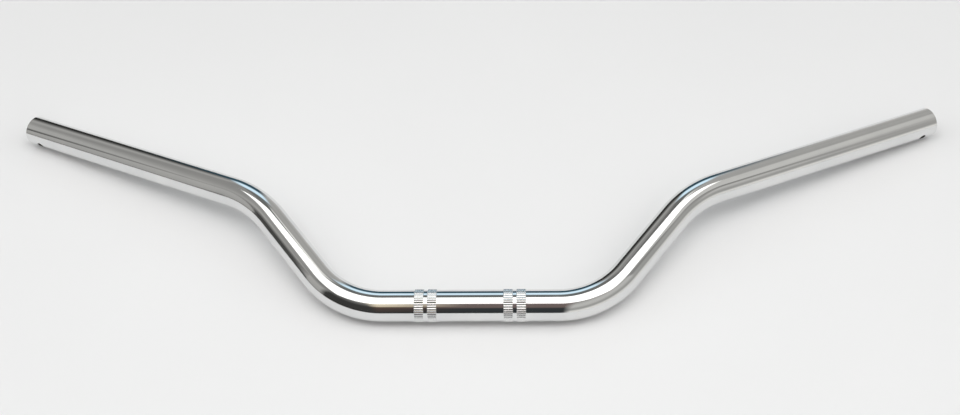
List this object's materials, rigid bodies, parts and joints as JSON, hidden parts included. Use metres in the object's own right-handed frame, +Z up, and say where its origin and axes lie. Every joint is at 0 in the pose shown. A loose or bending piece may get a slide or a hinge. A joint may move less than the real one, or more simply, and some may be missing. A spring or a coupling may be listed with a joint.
{
  "type": "motorcycle handlebar",
  "caption": "Chromed steel tube bent into a low, swept-back motorcycle handlebar, with knurled bands where it is clamped and plain straight ends for grips and controls.",
  "frame": {"origin": "middle of the clamp section, on the tube's axis; a table that the bar lies on is 11.3 mm below", "axes": "+X along the clamp section towards the right tip, +Y across it towards the tube ends, +Z up from the table that the bar lies on"},
  "size_m": [0.715, 0.1937, 0.0382],
  "materials": {
    "chrome_plate": "bright chrome plate, polished"
  },
  "bodies": {
    "root": {"handlebar": "chrome_plate"}
  },
  "joints": []
}
